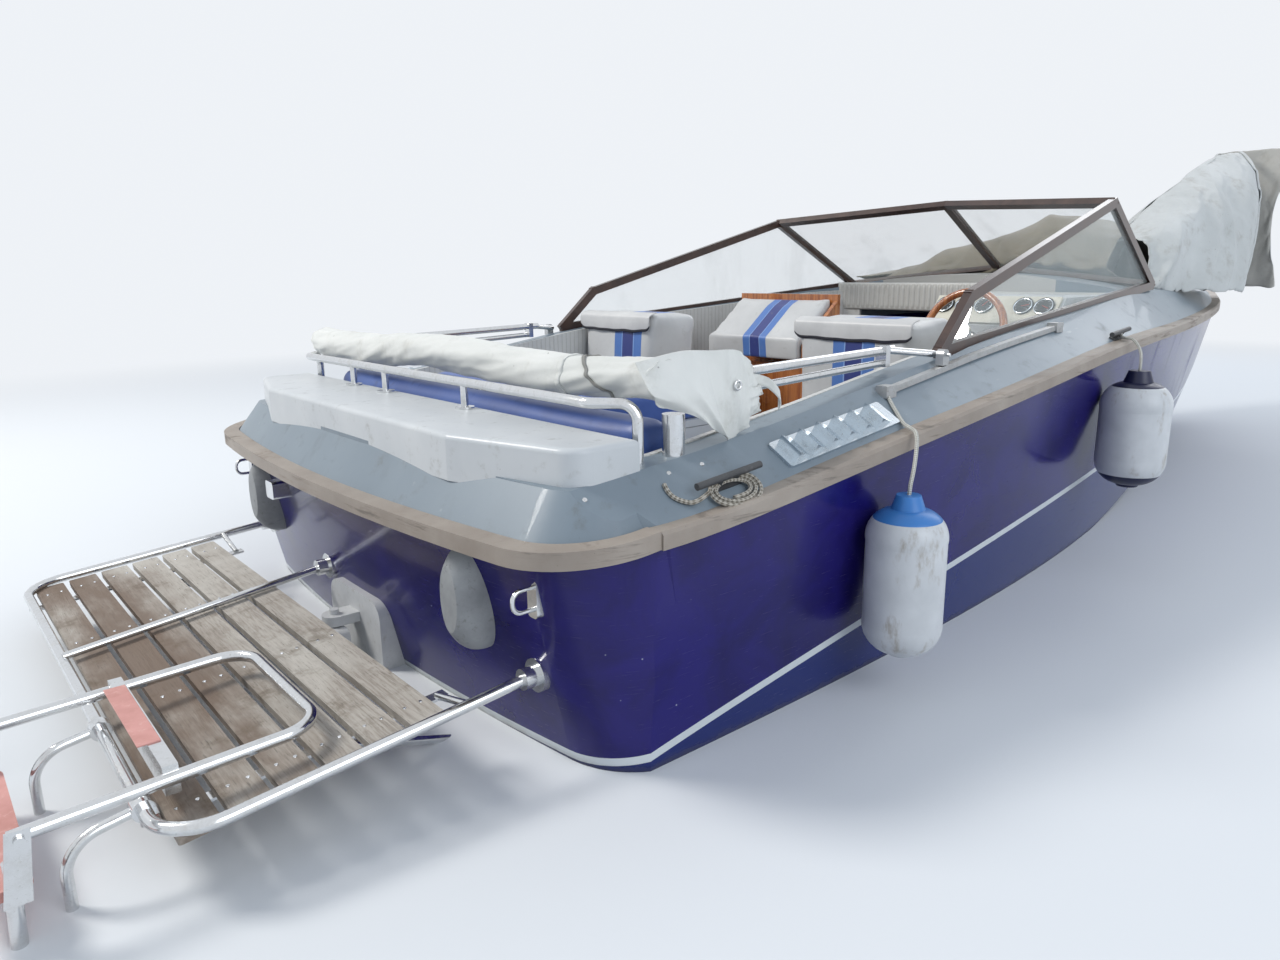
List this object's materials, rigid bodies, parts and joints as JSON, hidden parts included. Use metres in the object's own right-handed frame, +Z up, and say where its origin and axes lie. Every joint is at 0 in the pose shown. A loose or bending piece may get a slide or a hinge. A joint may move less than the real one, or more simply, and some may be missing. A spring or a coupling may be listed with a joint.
{
  "type": "speedboat",
  "caption": "Open speedboat with a cuddy cabin, raked windshield, folded hood, sterndrive, slatted bathing platform and boarding ladder.",
  "frame": {"origin": "on the waterline and the centreline, where the transom crosses them", "axes": "+X to the bow, +Y to port, +Z up"},
  "size_m": [7.4484, 2.3911, 2.42],
  "materials": {
    "hull_gelcoat": "glossy blue gelcoat",
    "deck_gelcoat": "grey-blue gelcoat",
    "strake": "weathered beige",
    "liner_vinyl": "ribbed vinyl",
    "engine_paint": "matt",
    "moulding": "light grey moulding",
    "blue_vinyl": "blue vinyl",
    "grey_vinyl": "light grey vinyl with stripes",
    "varnished_wood": "varnished",
    "cream_plate": "satin",
    "gauge_black": "black dials with steel rims",
    "dark_plastic": "matt",
    "polished_steel": "polished",
    "brown_aluminium": "dark brown",
    "clear_glass": "clear",
    "grey_aluminium": "dull",
    "hood_cloth": "coated cloth",
    "cover_cloth": "stained canvas",
    "teak": "weathered",
    "tread_plastic": "salmon",
    "drive_paint": "white",
    "shell_plastic": "weathered",
    "fender_vinyl": "soft vinyl",
    "rope": "braided"
  },
  "bodies": {
    "hull_body": {"aft_bench": "moulding", "aft_box": "moulding", "aft_pads": "blue_vinyl", "air_vents": "polished_steel", "bow_cover": "cover_cloth", "cleats": "dark_plastic", "cockpit_liner": "liner_vinyl", "dash_panel": "cream_plate", "dashboard": "moulding", "deck": "deck_gelcoat", "engine": "engine_paint", "fender_aft": "fender_vinyl", "fender_fore": "fender_vinyl", "gauges": "gauge_black", "helm_seat": "grey_vinyl", "hood_tracks": "grey_aluminium", "hull": "hull_gelcoat", "ladder_lower": "polished_steel", "ladder_treads": "tread_plastic", "lanyard_aft": "rope", "lanyard_fore": "rope", "lounge_cushion": "grey_vinyl", "lounge_frame": "varnished_wood", "platform_frame": "polished_steel", "platform_mounts": "polished_steel", "platform_slats": "teak", "port_seat": "grey_vinyl", "rub_rail": "strake", "seat_boxes": "varnished_wood", "steering_column": "dark_plastic", "stern_light": "polished_steel", "stern_rail": "polished_steel", "transom_eyes": "polished_steel", "transom_plate": "drive_paint", "transom_vents": "shell_plastic", "windshield_frame": "brown_aluminium", "windshield_glass": "clear_glass"},
    "gimbal": {"swivel_yoke": "drive_paint"},
    "drive": {"drive_leg": "drive_paint"},
    "propeller_body": {"propeller": "drive_paint"},
    "wheel": {"wheel_rim": "varnished_wood", "wheel_spokes": "polished_steel"},
    "hatch": {"engine_hatch": "moulding", "hatch_cushion": "blue_vinyl"},
    "ladder": {"ladder_upper": "polished_steel"},
    "hood": {"hood_frame": "polished_steel", "hood_canvas": "hood_cloth"}
  },
  "joints": [
    {"name": "drive_steer", "type": "hinge", "parent": "hull_body", "child": "gimbal", "pos_m": [-0.05, 0, 0.015], "axis": [0, 0, 1], "range_deg": [-30, 30]},
    {"name": "drive_tilt", "type": "hinge", "parent": "gimbal", "child": "drive", "pos_m": [-0.112, 0, 0.015], "axis": [0, 1, 0], "range_deg": [0, 35]},
    {"name": "propeller_spin", "type": "hinge", "parent": "drive", "child": "propeller_body", "pos_m": [-0.443, 0, -0.52], "axis": [1, 0, 0], "continuous": true},
    {"name": "wheel_turn", "type": "hinge", "parent": "hull_body", "child": "wheel", "pos_m": [2.42, -0.43, 0.795], "axis": [-0.9397, 0, 0.342], "range_deg": [-360, 360]},
    {"name": "hatch_lift", "type": "hinge", "parent": "hull_body", "child": "hatch", "pos_m": [0.476, 0, 0.724], "axis": [0, -1, 0], "range_deg": [0, 80]},
    {"name": "ladder_fold", "type": "hinge", "parent": "hull_body", "child": "ladder", "pos_m": [-0.856, -0.497, 0.19], "axis": [0, -1, 0], "range_deg": [0, 95]},
    {"name": "hood_fold", "type": "hinge", "parent": "hull_body", "child": "hood", "pos_m": [1.38, 0, 0.811], "axis": [0, 1, 0], "range_deg": [0, 95]}
  ],
  "couplings": [
    {"joint": "wheel_turn", "follows": "drive_steer", "ratio": -12}
  ]
}
